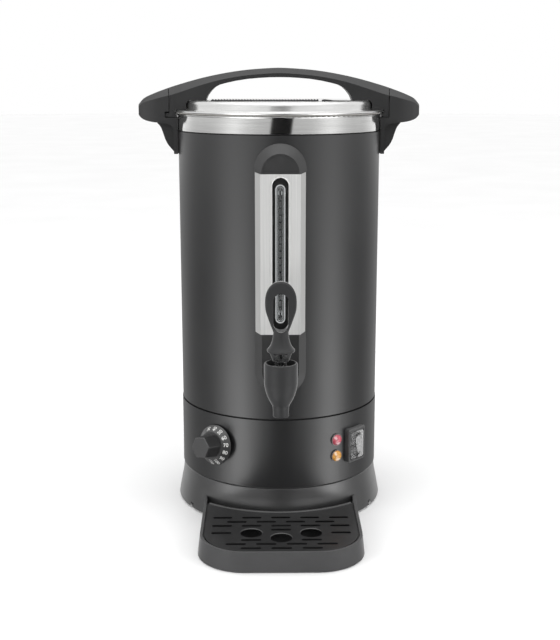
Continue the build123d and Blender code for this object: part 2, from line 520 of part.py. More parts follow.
# clear splash cover: thin domed membrane held in the frame
co = Pos(0, -0.6, 125.2) * Box(24.2, 33.8, 5.2)
co = fillet(co.edges().filter_by(Axis.Z), 3.0)
co = fillet(co.faces().sort_by(Axis.Z)[-1].edges(), 2.2)
ci = Pos(0, -0.6, 124.15) * Box(22.6, 32.2, 5.5)
ci = fillet(ci.edges().filter_by(Axis.Z), 2.4)
ci = fillet(ci.faces().sort_by(Axis.Z)[-1].edges(), 1.6)
save("switch_cover", sw * (co - ci))

holders = []
for z in LAMP_Z:
    h = rad_cyl(AZ_LAMP, z, 5.1, 98, 121.4) + rad_cyl(AZ_LAMP, z, 7.1, 120.8, 122.4)
    h -= rad_cyl(AZ_LAMP, z, 6.5, 121.4, 130)
    h += rad_cyl(AZ_LAMP, z, 1.0, 88, 99)
    holders.append(h)
save("lamp_holders", *holders)
for name, z in (("lamp_lens_red", LAMP_Z[0]), ("lamp_lens_amber", LAMP_Z[1])):
    prof = [(0, 121.5), (6.4, 121.5), (6.4, 122.5), (6.0, 123.4), (4.9, 124.2), (3.2, 124.75), (1.2, 125.0), (0, 125.0)]
    lens = revolve(Plane(origin=(0, 0, 0), x_dir=(1, 0, 0), z_dir=(0, -1, 0)) * make_face(Polyline(*prof, close=True)), Axis.Z)
    save(name, front(AZ_LAMP, 0, z) * lens)

# ---------------------------------------------------------------- wiring
save("terminal_block", box(-20, 20, 72, 88, 52, 66) - box(-22, 22, 70, 76, 58, 70)
     + box(-16, 16, 74, 78, 44, 54))
gl = rad_cyl(180, GLAND_Z, 8.0, 113.0, 121.4) + rad_cyl(180, GLAND_Z, 11.0, 121.3, 125.0)
gl = gl + rad_cyl(180, GLAND_Z, 8.0, 106.0, 114.0)
gl -= rad_cyl(180, GLAND_Z, 4.2, 100, 140)
save("cord_gland", gl)
gn = front(180, 115.2, GLAND_Z) * extrude(RegularPolygon(11.0, 6, major_radius=False), amount=3.4)
save("gland_nut", gn - rad_cyl(180, GLAND_Z, 8.05, 100, 140))


def wire(r, *pts, fil=8):
    path = FilletPolyline(*[Vector(*p) for p in pts], radius=fil)
    return sweep((Plane(origin=path @ 0, z_dir=path % 0) * Circle(r)), path=path)


s_dir = Vector(sin(radians(AZ_SWITCH)), -cos(radians(AZ_SWITCH)), 0)
l_dir = Vector(sin(radians(AZ_LAMP)), -cos(radians(AZ_LAMP)), 0)
wires = [
    wire(1.3, (-11, 69.1, 108.6), (-11, 69.1, 92), (-11, 60, 92), (-11, 60, 60), (-11, 71.6, 60), fil=4),
    wire(1.3, (11, 69.1, 108.6), (11, 69.1, 92), (11, 60, 92), (11, 60, 60), (11, 71.6, 60), fil=4),
    wire(1.3, (s_dir.X * 81.6, s_dir.Y * 81.6, ZS), (s_dir.X * 60, s_dir.Y * 60, ZS), (8, -20, ZS), (8, 40, 63), (8, 71.6, 63), fil=8),
    wire(1.3, (n.X * 79.6, n.Y * 79.6, Z_KNOB), (n.X * 60, n.Y * 60, Z_KNOB), (-8, -16, 80), (-8, 40, 63), (-8, 71.6, 63), fil=8),
    wire(1.1, (l_dir.X * 87.4, l_dir.Y * 87.6, LAMP_Z[0]), (l_dir.X * 66, l_dir.Y * 66, LAMP_Z[0]), (15, -10, 84), (15, 44, 60), (15, 71.6, 60), fil=8),
]
save("wiring", *wires)

# ---------------------------------------------------------------- lid
pan = ring([
    (0, Z_LID), (104.6, Z_LID), (106.9, Z_LID - 0.8), (108.4, Z_LID - 2.4), (R_LID, Z_LID - 4.6), (R_LID, 480.4), (109.6, 479.4), (110.8, 479.0),
    (121.8, 479.0), (122.7, 478.6), (R_FLANGE, 477.8), (122.7, 477.0), (121.8, 476.6), (121.0, 476.6), (121.0, 478.1),
    (110.4, 478.1), (108.9, 478.8), (108.2, 480.0), (108.2, Z_LID - 4.8), (107.7, Z_LID - 2.9), (106.4, Z_LID - 1.5), (104.4, Z_LID - 0.8), (0, Z_LID - 0.8)])
LID_SCREWS = [(sx * 95.0, sy * 9.0) for sx in (1, -1) for sy in (1, -1)]
for x, y in LID_SCREWS:
    pan -= tube(2.2, 0, 485, 495, x, y)
for k in range(-6, 7):
    pan -= Pos(-17 + k * 9, -62, Z_LID) * Box(3.0, 3.0, 6)
save("lid_pan", pan)

gasket = ring([
    (116.2, 466.6), (118.0, 466.6), (118.95, 467.8), (118.3, 469.2), (118.95, 470.6), (118.3, 472.0), (118.9, 473.2), (118.4, 475.4),
    (120.7, 475.5), (120.7, 476.35), (112.0, 476.35), (112.0, 474.8), (116.2, 474.4)])
save("lid_gasket", gasket)

HANDLE_W = 17.0
AR = [  # x, top z, bevel height, half width, top half width
    (0.0, 527.6, 6.2, 16.0, 9.6), (23.0, 526.5, 6.3, 16.1, 9.6), (46.0, 524.3, 6.5, 16.3, 9.5), (70.0, 520.4, 7.0, 16.6, 9.4),
    (93.7, 515.2, 8.2, 17.1, 9.2), (112.0, 510.2, 9.2, 17.6, 9.0), (124.0, 506.6, 9.4, 18.0, 9.0), (133.0, 503.6, 9.0, 18.3, 9.2)]
stations = [(-x, zt, hb, 470.9, w, wt) for x, zt, hb, w, wt in reversed(AR[1:])] + [(x, zt, hb, 470.9, w, wt) for x, zt, hb, w, wt in AR]
arch = slab(stations)
arch &= tube(R_SEAM, 0, 460, 540)
under = [(0, 516.7), (12, 516.5), (24, 515.8), (36.7, 514.7), (51, 512.5), (62.9, 509.9), (70.5, 507.9), (75.5, 505.2), (79.8, 501.2), (84.0, 495.8), (86.4, 490.25),
         (104.8, 490.25), (107.2, 489.4), (108.8, 487.6), (109.4, 485.4), (109.4, 480.6), (110.2, 479.4), (111.0, 479.3), (123.5, 479.3), (123.8, 478.6), (123.8, 476.2), (122.0, 475.4), (122.0, 460)]
opening = [(x, z) for x, z in under] + [(-x, z) for x, z in reversed(under[1:])]
arch -= xz_prism(opening, -30, 30)
# relief so the legs clear the round lid wall and flange behind the section plane
arch -= tube(109.4, 0, 470, 485.4)
arch -= ring([(0, 470), (122.0, 470), (122.0, 475.4), (123.8, 476.2), (123.8, 478.6), (123.5, 479.3), (111.0, 479.3), (110.2, 479.4), (109.4, 480.6), (109.4, 485.4),
              (108.8, 487.6), (107.2, 489.4), (104.8, 490.25), (0, 490.25)])
# locking tongues
tongue = (tube(135.0, 127.0, 471.2, 475.5) & box(100, 140, 11.6, 17.2, 465, 480))
arch += tongue
arch += tongue.rotate(Axis.Z, 180)
for x, y in LID_SCREWS:
    arch -= tube(1.8, 0, 489, 501, x, y)
save("lid_handle", arch)
save("lid_screws", *[tube(1.7, 0, 488, 500, x, y) + tube(3.6, 0, 486.9, 489.1, x, y) for x, y in LID_SCREWS])

# slatted strip near the front of the lid, and a short plain tab beside it
vent = box(-78, 44, -66, -58, 490.2, 491.5)
for k in range(37):
    vent += box(-76.6 + 3.3 * k, -75.0 + 3.3 * k, -65.4, -58.6, 491.3, 492.4)
tab = xz_prism([(48, 490.2), (79, 490.2), (79, 490.9), (62, 491.1), (55, 491.9), (50.5, 492.3), (48, 491.6)], -66, -58)
save("vent_strip", vent, tab)

# ---------------------------------------------------------------- drip tray
def tray_face(w, yf, rc, rb, z, yb=-70.0):
    """Plan: straight sides, round front corners; the back follows a circle of radius rb."""
    f = make_face(Polyline((-w, yb), (w, yb), (w, yf), (-w, yf), close=True))
    f = fillet(f.vertices().group_by(Axis.Y)[0], rc)
    f -= Circle(rb)
    f = Pos(0, 0, z) * f
    return f


def tray_solid(w0, yf0, rc0, z0, w1, yf1, rc1, z1):
    """Loft of a plan with round front corners, before the back is cut away."""
    faces = []
    for w, yf, rc, z in ((w0, yf0, rc0, z0), (w1, yf1, rc1, z1)):
        f = make_face(Polyline((-w, -60.0), (w, -60.0), (w, yf), (-w, yf), close=True))
        f = fillet(f.vertices().group_by(Axis.Y)[0], rc)
        faces.append(Pos(0, 0, z) * f.faces()[0])
    return loft(faces, ruled=True)


tray = tray_solid(92.8, -249.0, 54.0, 1.0, 90.0, -250.2, 52.0, TRAY_Z)
skirt_clear = ring([(0, -1), (127.1, -1), (127.0, 0)] + [(r + 0.55, z) for z, r in reversed(SKIRT) if z < 32] + [(r_skirt(32) + 0.55, 32), (0, 32)])
tray -= skirt_clear
# basin, with a deck along the back that the grille's lip rests against
basin = tray_solid(88.4, -244.4, 50.0, 4.0, 87.2, -247.3, 49.2, TRAY_Z + 1)
basin -= tube(137.0, 0, -5, 40)
ledge_out = tray_solid(90.6, -249.0, 53.0, 1.5, 88.6, -248.8, 51.0, 21.1)
ledge_in = tray_solid(84.0, -242.6, 46.0, 0.5, 84.0, -242.6, 46.0, 21.6)
tray -= basin
ledge = (ledge_out - ledge_in) & box(-100, 100, -260, -60, 16.0, 21.1)
ledge -= skirt_clear
tray += ledge
# low deck behind the grille, hollow from below; a thin wall is left under the grille's bead
tray -= tray_solid(87.6, -244.4, 50.0, 14.5, 87.2, -247.3, 49.2, TRAY_Z + 1) & tube(135.0, 0, 14.5, 40)
tray -= tray_solid(87.6, -244.4, 50.0, 21.4, 87.2, -247.3, 49.2, TRAY_Z + 1) & tube(140.0, 0, 21.3, 40)
tray -= (tube(133.4, 129.6, 1.0, 12.5) & box(-84, 84, -140, -60, 0.5, 12.5))
# tongue that slides under the base
tray += box(-29, 29, -131.5, -98, 2.6, 6.4)
tray += box(-29, 29, -139.0, -127.5, 1.0, 6.4) - ring([(0, -1), (127.2, -1), (127.2, 2.4), (0, 2.4)])
save("drip_tray", tray)

g = make_face(Polyline((-84.9, -100), (84.9, -100), (84.9, -245.4), (-84.9, -245.4), close=True))
g = fillet(g.vertices().group_by(Axis.Y)[0], 47.0)
g -= Circle(135.2)
g = fillet(g.vertices().group_by(Axis.Y)[-1], 3.0)
grille = Pos(0, 0, 21.4) * extrude(g, amount=2.4)
# the field with the slots is thinner than the rim
field = make_face(Polyline((-80.4, -100), (80.4, -100), (80.4, -241.4), (-80.4, -241.4), close=True))
field = fillet(field.vertices().group_by(Axis.Y)[0], 43.0)
field -= Circle(140.6)
grille -= Pos(0, 0, 21.4) * extrude(field, amount=1.4, both=True)
# raised bead along the rear edge
bead = ring([(135.6, 22.6), (139.4, 22.6), (139.3, 23.8), (138.9, 24.6), (138.2, 25.1), (137.3, 25.3), (136.5, 25.1), (135.9, 24.5), (135.6, 23.8)])
grille += bead & (Pos(0, 0, 22) * extrude(offset(g, -0.8), amount=6))
SX = 33.2
ROWS = [(-152.6, (-2, -1, 0, 1, 2)), (-164.8, (-1.5, -0.5, 0.5, 1.5)), (-176.2, (-2, -1, 0, 1, 2)), (-187.6, (0,)),
        (-196.2, (-2, 2)), (-215.4, (-1, 1)), (-226.2, (-1.5, -0.5, 0.5, 1.5)), (-237.2, (-1, 0, 1))]
for y, cols in ROWS:
    for c in cols:
        grille -= Pos(c * SX, y, 22) * extrude(SlotOverall(22.6, 5.2), amount=6, both=True)
for x, y in ((-SX, -196.2), (SX, -196.2), (0, -209.4)):
    grille -= Pos(x, y, 22) * Cylinder(12.0, 10)
rims = [e for e in grille.edges().filter_by(GeomType.CIRCLE) if abs(e.radius - 12.0) < 0.01 and e.center().Z > 23.7]
grille = chamfer(rims, 0.7)
save("drip_grille", grille)
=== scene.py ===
import math

import bmesh
import bpy
from mathutils import Matrix, Vector, noise


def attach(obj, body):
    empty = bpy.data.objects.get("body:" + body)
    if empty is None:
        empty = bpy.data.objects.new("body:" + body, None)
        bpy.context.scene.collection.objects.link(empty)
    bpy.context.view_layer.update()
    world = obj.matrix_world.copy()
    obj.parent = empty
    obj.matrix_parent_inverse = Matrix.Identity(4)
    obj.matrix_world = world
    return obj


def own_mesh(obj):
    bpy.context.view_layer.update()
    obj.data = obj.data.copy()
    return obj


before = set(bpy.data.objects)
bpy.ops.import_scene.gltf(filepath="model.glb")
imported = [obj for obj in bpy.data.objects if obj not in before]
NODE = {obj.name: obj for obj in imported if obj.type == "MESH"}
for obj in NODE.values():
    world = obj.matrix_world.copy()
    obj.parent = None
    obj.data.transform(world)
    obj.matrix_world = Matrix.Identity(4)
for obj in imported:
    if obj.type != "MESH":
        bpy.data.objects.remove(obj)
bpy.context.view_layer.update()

scene = bpy.context.scene
MM = 0.001


# ------------------------------------------------------------------ node graph helpers
class Graph:
    """Small wrapper that makes shader nodes and links them."""

    def __init__(self, name):
        self.mat = bpy.data.materials.new(name)
        self.mat.use_nodes = True
        self.nt = self.mat.node_tree
        self.nt.nodes.clear()
        self.out = self.nt.nodes.new("ShaderNodeOutputMaterial")
        self.p = self.nt.nodes.new("ShaderNodeBsdfPrincipled")
        self.nt.links.new(self.p.outputs[0], self.out.inputs["Surface"])
        self.coord = self.nt.nodes.new("ShaderNodeTexCoord")

    def link(self, a, b):
        self.nt.links.new(a, b)

    def node(self, kind, **props):
        n = self.nt.nodes.new(kind)
        for k, v in props.items():
            setattr(n, k, v)
        return n

    def math(self, op, a, b=None, c=None):
        n = self.node("ShaderNodeMath", operation=op)
        for i, v in enumerate((a, b, c)):
            if v is None:
                continue
            if isinstance(v, (int, float)):
                n.inputs[i].default_value = v
            else:
                self.link(v, n.inputs[i])
        return n.outputs[0]

    def separate(self):
        n = self.node("ShaderNodeSeparateXYZ")
        self.link(self.coord.outputs["Object"], n.inputs[0])
        return n.outputs

    def combine(self, x, y, z):
        n = self.node("ShaderNodeCombineXYZ")
        for i, v in enumerate((x, y, z)):
            if isinstance(v, (int, float)):
                n.inputs[i].default_value = v
            else:
                self.link(v, n.inputs[i])
        return n.outputs[0]

    def scaled(self, sx, sy, sz):
        n = self.node("ShaderNodeMapping")
        n.inputs["Scale"].default_value = (sx, sy, sz)
        self.link(self.coord.outputs["Object"], n.inputs["Vector"])
        return n.outputs[0]

    def noise(self, scale, detail=2.0, rough=0.5, vector=None, distortion=0.0):
        n = self.node("ShaderNodeTexNoise")
        n.inputs["Scale"].default_value = scale
        n.inputs["Detail"].default_value = detail
        n.inputs["Roughness"].default_value = rough
        n.inputs["Distortion"].default_value = distortion
        self.link(vector if vector is not None else self.coord.outputs["Object"], n.inputs["Vector"])
        return n.outputs["Fac"]

    def ramp(self, value, lo, hi, a, b):
        n = self.node("ShaderNodeMapRange")
        n.inputs["From Min"].default_value = lo
        n.inputs["From Max"].default_value = hi
        n.inputs["To Min"].default_value = a
        n.inputs["To Max"].default_value = b
        self.link(value, n.inputs["Value"])
        return n.outputs["Result"]

    def mix(self, fac, c0, c1):
        n = self.node("ShaderNodeMix", data_type="RGBA")
        self.link(fac, n.inputs["Factor"])
        for v, s in ((c0, n.inputs["A"]), (c1, n.inputs["B"])):
            pass
        ins = [i for i in n.inputs if i.type == "RGBA"]
        for v, s in zip((c0, c1), ins):
            if isinstance(v, (tuple, list)):
                s.default_value = (*v[:3], 1.0)
            else:
                self.link(v, s)
        return [o for o in n.outputs if o.type == "RGBA"][0]

    def bump(self, height, strength, distance, normal=None):
        n = self.node("ShaderNodeBump")
        n.inputs["Strength"].default_value = strength
        n.inputs["Distance"].default_value = distance
        self.link(height, n.inputs["Height"])
        if normal is not None:
            self.link(normal, n.inputs["Normal"])
        return n.outputs["Normal"]

    def set(self, **kw):
        for k, v in kw.items():
            s = self.p.inputs[k.replace("_", " ")]
            if isinstance(v, (int, float, tuple, list)):
                s.default_value = (*v, 1.0) if isinstance(v, (tuple, list)) and len(v) == 3 else v
            else:
                self.link(v, s)
        return self


def tint(c, k):
    return tuple(min(1.0, x * k) for x in c)


# ------------------------------------------------------------------ materials
def moulded(name, colour, rough, grain=0.00055, depth=0.00004, strength=0.35, vary=0.10, spec=1.0, coat=0.0, swirl=0.006, sheen=0.0, coat_ior=1.5, sag=0.0, well_shade=False):
    """Moulded plastic or rubber: spark-eroded grain, faint flow marks and uneven gloss."""
    g = Graph(name)
    fine = g.noise(1.0 / grain, 3.0, 0.6)
    flow = g.noise(1.0 / swirl / 2.2, 3.0, 0.55, distortion=0.6)
    big = g.noise(26.0, 2.0)
    col = g.mix(g.ramp(big, 0.3, 0.7, 0.0, 1.0), tint(colour, 1 - vary), tint(colour, 1 + vary))
    if well_shade:
        # look only, painted shade: the basin under the grille is given a near-black colour for the shade in it, the
        # outside of the tray keeps its grey
        x, y, z = g.separate()
        qx = g.math("MAXIMUM", g.math("SUBTRACT", g.math("ABSOLUTE", x), 38.4 * MM), 0.0)
        qy = g.math("MAXIMUM", g.math("SUBTRACT", g.math("MULTIPLY", y, -1.0), 194.4 * MM), 0.0)
        q = g.math("SQRT", g.math("ADD", g.math("MULTIPLY", qx, qx), g.math("MULTIPLY", qy, qy)))
        rr = g.math("SQRT", g.math("ADD", g.math("MULTIPLY", x, x), g.math("MULTIPLY", y, y)))
        inside = g.math("MULTIPLY", g.math("LESS_THAN", q, 51.5 * MM), g.math("GREATER_THAN", rr, 137.3 * MM))
        inside = g.math("MULTIPLY", inside, g.math("MULTIPLY", g.math("GREATER_THAN", z, 3.5 * MM), g.math("LESS_THAN", z, 21.0 * MM)))
        col = g.mix(inside, col, (0.0016, 0.0016, 0.0017))
    g.set(Base_Color=col)
    r = g.math("ADD", g.ramp(flow, 0.3, 0.7, rough - 0.04, rough + 0.04), g.ramp(fine, 0.3, 0.7, -0.04, 0.05))
    g.set(Roughness=r)
    g.p.inputs["Specular IOR Level"].default_value = spec
    if coat:
        g.p.inputs["Coat Weight"].default_value = coat
        g.p.inputs["Coat Roughness"].default_value = 0.30
        g.p.inputs["Coat IOR"].default_value = coat_ior
    if sheen:
        g.p.inputs["Sheen Weight"].default_value = sheen
        g.p.inputs["Sheen Roughness"].default_value = 0.3
        g.p.inputs["Sheen Tint"].default_value = (1, 1, 1, 1)
    start = None
    if sag:
        # look only: the shading normal leans down by sag, so the wall mirrors a lower part of the surroundings than its shape would
        geo = g.node("ShaderNodeNewGeometry")
        low_n = g.node("ShaderNodeVectorMath", operation="SUBTRACT")
        g.link(geo.outputs["Normal"], low_n.inputs[0])
        low_n.inputs[1].default_value = (0.0, 0.0, sag)
        unit = g.node("ShaderNodeVectorMath", operation="NORMALIZE")
        g.link(low_n.outputs[0], unit.inputs[0])
        start = unit.outputs[0]
    n1 = g.bump(fine, strength, depth, start)
    n2 = g.bump(flow, 0.10, 0.00012, n1)
    g.set(Normal=n2)
    return g.mat


def painted(name, colour, rough):
    """Fine-texture powder coat on rolled sheet: pebbled surface, slight waviness and faint streaks down the wall."""
    g = Graph(name)
    pebble = g.noise(1500.0, 3.0, 0.6)
    grit = g.noise(5200.0, 1.0, 0.5)
    wave = g.noise(1.0, 2.0, 0.5, vector=g.scaled(18.0, 18.0, 5.0))
    patch = g.noise(9.0, 3.0, 0.5)
    g.set(Base_Color=g.mix(g.ramp(g.math("ADD", g.math("MULTIPLY", patch, 0.65), g.math("MULTIPLY", grit, 0.35)), 0.35, 0.65, 0.0, 1.0),
                           tint(colour, 0.90), tint(colour, 1.12)))
    r = g.math("ADD", g.ramp(patch, 0.3, 0.7, rough - 0.025, rough + 0.025), g.ramp(pebble, 0.3, 0.7, -0.035, 0.045))
    g.set(Roughness=r)
    g.p.inputs["Specular IOR Level"].default_value = PAINT_SPEC
    n1 = g.bump(pebble, 0.30, 0.00005)
    n2 = g.bump(wave, 0.12, 0.0006, n1)
    g.set(Normal=n2)
    return g.mat


def brushed(name, mode, colour=(0.68, 0.68, 0.67), rough=0.24, aniso=0.0, strength=0.25, metallic=1.0, fold_shade_from=None):
    """Brushed stainless steel. mode says which way the grain runs: round (around Z), up (along Z) or lid."""
    g = Graph(name)
    x, y, z = g.separate()
    if mode == "round":
        vec = g.scaled(9.0, 9.0, 5200.0)
        vec2 = g.scaled(14.0, 14.0, 900.0)
    elif mode == "up":
        vec = g.scaled(4200.0, 4200.0, 10.0)
        vec2 = g.scaled(700.0, 700.0, 5.0)
    else:
        rr = g.math("SQRT", g.math("ADD", g.math("MULTIPLY", x, x), g.math("MULTIPLY", y, y)))
        vec = g.combine(g.math("MULTIPLY", x, 8.0), g.math("MULTIPLY", y, 8.0), g.math("MULTIPLY", g.math("ADD", rr, z), 3600.0))
        vec2 = g.combine(g.math("MULTIPLY", x, 6.0), g.math("MULTIPLY", y, 6.0), g.math("MULTIPLY", g.math("ADD", rr, z), 600.0))
    fine = g.noise(1.0, 4.0, 0.65, vector=vec)
    broad = g.noise(1.0, 3.0, 0.6, vector=vec2)
    smear = g.noise(34.0, 3.0, 0.55, distortion=0.4)
    g.set(Metallic=metallic)
    col = g.mix(g.ramp(broad, 0.3, 0.7, 0.0, 1.0), tint(colour, 0.93), tint(colour, 1.06))
    if fold_shade_from:
        # look only, painted shade: the folded sides are given a darker colour than the flat, for the light falling off
        # on them
        side = g.math("GREATER_THAN", g.math("ABSOLUTE", x), fold_shade_from * MM)
        col = g.mix(side, col, tint(colour, 0.72))
    g.set(Base_Color=col)
    r = g.math("ADD", g.ramp(fine, 0.25, 0.75, rough - 0.03, rough + 0.04), g.ramp(smear, 0.3, 0.7, -0.01, 0.02))
    g.set(Roughness=r)
    if aniso:
        g.p.inputs["Anisotropic"].default_value = aniso
        g.p.inputs["Anisotropic Rotation"].default_value = 0.25 if mode != "up" else 0.0
        t = g.node("ShaderNodeTangent", direction_type="RADIAL", axis="Z")
        g.link(t.outputs[0], g.p.inputs["Tangent"])
    n1 = g.bump(fine, strength, 0.00002)
    n2 = g.bump(broad, 0.10, 0.00005, n1)
    g.set(Normal=n2)
    return g.mat


def metal(name, colour, rough, grain=0.0012, patina=0.15):
    """Plated or turned metal with light handling marks."""
    g = Graph(name)
    fine = g.noise(1.0 / grain, 3.0, 0.6)
    patch = g.noise(140.0, 3.0, 0.6)
    g.set(Metallic=1.0)
    g.set(Base_Color=g.mix(g.ramp(patch, 0.35, 0.7, 0.0, 1.0), tint(colour, 1.0), tint(colour, 1 - patina)))
    g.set(Roughness=g.math("ADD", g.ramp(patch, 0.3, 0.7, rough, rough + 0.10), g.ramp(fine, 0.3, 0.7, -0.03, 0.03)))
    g.set(Normal=g.bump(fine, 0.15, 0.00003))
    return g.mat


def sight_glass(name):
    """Thick-walled clear tube: see-through over the bore, with a painted highlight along its edges: white, slightly
    glowing and less clear there.
    """
    g = Graph(name)
    lw = g.node("ShaderNodeLayerWeight")
    lw.inputs["Blend"].default_value = 0.5
    # painted highlight and glow: where the surface turns away from the view it is given white colour, emission and less
    # transmission
    painted_rim = g.ramp(lw.outputs["Facing"], 0.36, 0.50, 0.0, 1.0)
    streak = g.noise(1.0, 2.0, 0.5, vector=g.scaled(400.0, 400.0, 60.0))
    g.set(Base_Color=g.mix(painted_rim, (0.93, 0.95, 0.95), g.mix(g.ramp(streak, 0.3, 0.7, 0.0, 1.0), (0.62, 0.63, 0.64), (0.80, 0.81, 0.82))))
    g.set(Emission_Color=g.mix(painted_rim, (0.0, 0.0, 0.0), (0.80, 0.82, 0.83)))
    g.p.inputs["Emission Strength"].default_value = 0.34
    g.set(Transmission_Weight=g.math("SUBTRACT", 1.0, g.math("MULTIPLY", painted_rim, 0.62)))
    g.p.inputs["IOR"].default_value = 1.46
    g.set(Roughness=g.ramp(g.noise(420.0, 3.0, 0.6), 0.3, 0.75, 0.0, 0.03))
    return g.mat


def boot(name, az, z0):
    """Clear splash cover over the switch: soft film, lightly clouded and wrinkled from use, with a painted reflection:
    a whitish band on its right part stands in for the glare of the right-hand light.
    """
    g = Graph(name)
    x, y, z = g.separate()
    a = math.radians(az)
    u = g.math("MULTIPLY", g.math("ADD", g.math("MULTIPLY", x, math.cos(a)), g.math("MULTIPLY", y, math.sin(a))), 1000.0)
    v = g.math("MULTIPLY", g.math("SUBTRACT", z, z0 * MM), 1000.0)
    wob = g.noise(170.0, 3.0, 0.6, distortion=0.8)
    wob2 = g.noise(420.0, 2.0, 0.6)
    uw = g.math("ADD", u, g.ramp(wob, 0.3, 0.7, -2.2, 2.2))
    vw = g.math("ADD", v, g.ramp(wob2, 0.3, 0.7, -1.5, 1.5))

    def blob(cu, cv, ru, rv):
        p = g.math("DIVIDE", g.math("SUBTRACT", uw, cu), ru)
        q = g.math("DIVIDE", g.math("SUBTRACT", vw, cv), rv)
        d = g.math("ADD", g.math("MULTIPLY", p, p), g.math("MULTIPLY", q, q))
        return g.ramp(d, 0.5, 1.3, 1.0, 0.0)

    # painted reflection: to the right of an uneven front the film is given a whitish clouded band for the glare of the
    # right-hand light; to the left it stays clear, with dark folds
    front = g.math("ADD", uw, g.ramp(g.math("ABSOLUTE", g.math("SUBTRACT", vw, 3.0)), 3.0, 9.0, 5.2, 0.0))
    painted_glare_band = g.math("MULTIPLY", g.ramp(front, -1.8, 0.6, 0.0, 1.0), g.ramp(wob2, 0.30, 0.62, 0.66, 1.0))
    dark = g.math("MINIMUM", g.math("ADD", g.math("ADD", blob(-5.4, 2.0, 1.9, 5.4), blob(-1.8, -11.6, 4.2, 3.3)), blob(0.4, 13.2, 5.0, 2.3)), 1.0)
    cloud_and_glare = g.math("MULTIPLY", g.math("ADD", g.math("ADD", 0.08, g.math("MULTIPLY", painted_glare_band, 0.30)), g.ramp(wob, 0.3, 0.7, -0.05, 0.06)),
                  g.math("SUBTRACT", 1.0, g.math("MULTIPLY", dark, 0.92)))
    g.set(Base_Color=g.mix(cloud_and_glare, (0.90, 0.90, 0.90), (0.78, 0.78, 0.78)))
    g.set(Transmission_Weight=g.math("SUBTRACT", 1.0, cloud_and_glare))
    g.p.inputs["IOR"].default_value = 1.42
    g.set(Roughness=g.ramp(wob2, 0.3, 0.7, 0.12, 0.22))
    n1 = g.bump(wob, 0.5, 0.0012)
    g.set(Normal=g.bump(dark, 0.4, 0.0010, n1))
    return g.mat


def lens(name, deep, bright, glow, az, z0):
    """Pilot-lamp lens: tinted diffusing plastic with a ribbed look, and painted highlights: two pale spots, upper left
    and lower right.
    """
    g = Graph(name)
    x, y, z = g.separate()
    a = math.radians(az)
    u = g.math("MULTIPLY", g.math("ADD", g.math("MULTIPLY", x, math.cos(a)), g.math("MULTIPLY", y, math.sin(a))), 1000.0)
    v = g.math("MULTIPLY", g.math("SUBTRACT", z, z0 * MM), 1000.0)
    ribs = g.noise(420.0, 2.0, 0.5)
    body = g.noise(190.0, 2.0, 0.5)
    col = g.mix(g.ramp(g.math("ADD", g.math("MULTIPLY", ribs, 0.35), g.math("MULTIPLY", body, 0.65)), 0.38, 0.62, 0.0, 1.0), deep, bright)

    def painted_glint(cu, cv, ru, rv):
        p = g.math("DIVIDE", g.math("SUBTRACT", g.math("ADD", u, g.ramp(body, 0.3, 0.7, -1.0, 1.0)), cu), ru)
        q = g.math("DIVIDE", g.math("SUBTRACT", g.math("ADD", v, g.ramp(ribs, 0.3, 0.7, -0.8, 0.8)), cv), rv)
        return g.ramp(g.math("ADD", g.math("MULTIPLY", p, p), g.math("MULTIPLY", q, q)), 0.3, 1.4, 1.0, 0.0)

    # painted highlights: pale spots upper left and lower right, mixed into the colour
    painted_highlights = g.math("MINIMUM", g.math("ADD", painted_glint(-2.8, 3.2, 1.9, 2.0), painted_glint(1.2, -4.0, 3.4, 1.9)), 1.0)
    pale = tuple(min(0.95, c * 0.55 + 0.40) for c in bright)
    col = g.mix(g.math("MULTIPLY", painted_highlights, 0.85), col, pale)
    g.set(Base_Color=col)
    g.p.inputs["Roughness"].default_value = 0.16
    g.p.inputs["Subsurface Weight"].default_value = 0.2
    g.p.inputs["Subsurface Radius"].default_value = (0.004, 0.0014, 0.0010)
    g.p.inputs["Subsurface Scale"].default_value = 0.4
    g.p.inputs["Coat Weight"].default_value = 0.8
    g.p.inputs["Coat Roughness"].default_value = 0.05
    g.p.inputs["Emission Color"].default_value = (*bright, 1.0)
    g.p.inputs["Emission Strength"].default_value = glow
    g.set(Normal=g.bump(ribs, 0.20, 0.0004))
    return g.mat


def dashes(name):
    """Printed level line: grey dashes on the black back of the gauge channel."""
    g = Graph(name)
    x, y, z = g.separate()
    f = g.math("FRACT", g.math("MULTIPLY", z, 125.0))
    wear = g.noise(900.0, 3.0, 0.6)
    on = g.math("LESS_THAN", g.math("ADD", f, g.math("MULTIPLY", wear, 0.08)), 0.80)
    on = g.math("MULTIPLY", on, g.math("LESS_THAN", g.math("ABSOLUTE", x), 0.75 * MM))
    g.set(Base_Color=g.mix(on, (0.010, 0.010, 0.011), (0.70, 0.70, 0.71)))
    g.set(Roughness=g.ramp(wear, 0.3, 0.7, 0.35, 0.5))
    return g.mat


def wrapped_wire(name):
    g = Graph(name)
    braid = g.noise(2600.0, 2.0, 0.5)
    x, y, z = g.separate()
    g.set(Base_Color=g.mix(g.ramp(braid, 0.35, 0.65, 0.0, 1.0), (0.30, 0.27, 0.21), (0.52, 0.47, 0.38)))
    g.set(Roughness=g.ramp(braid, 0.3, 0.7, 0.6, 0.8))
    g.set(Normal=g.bump(braid, 0.6, 0.0002))
    return g.mat


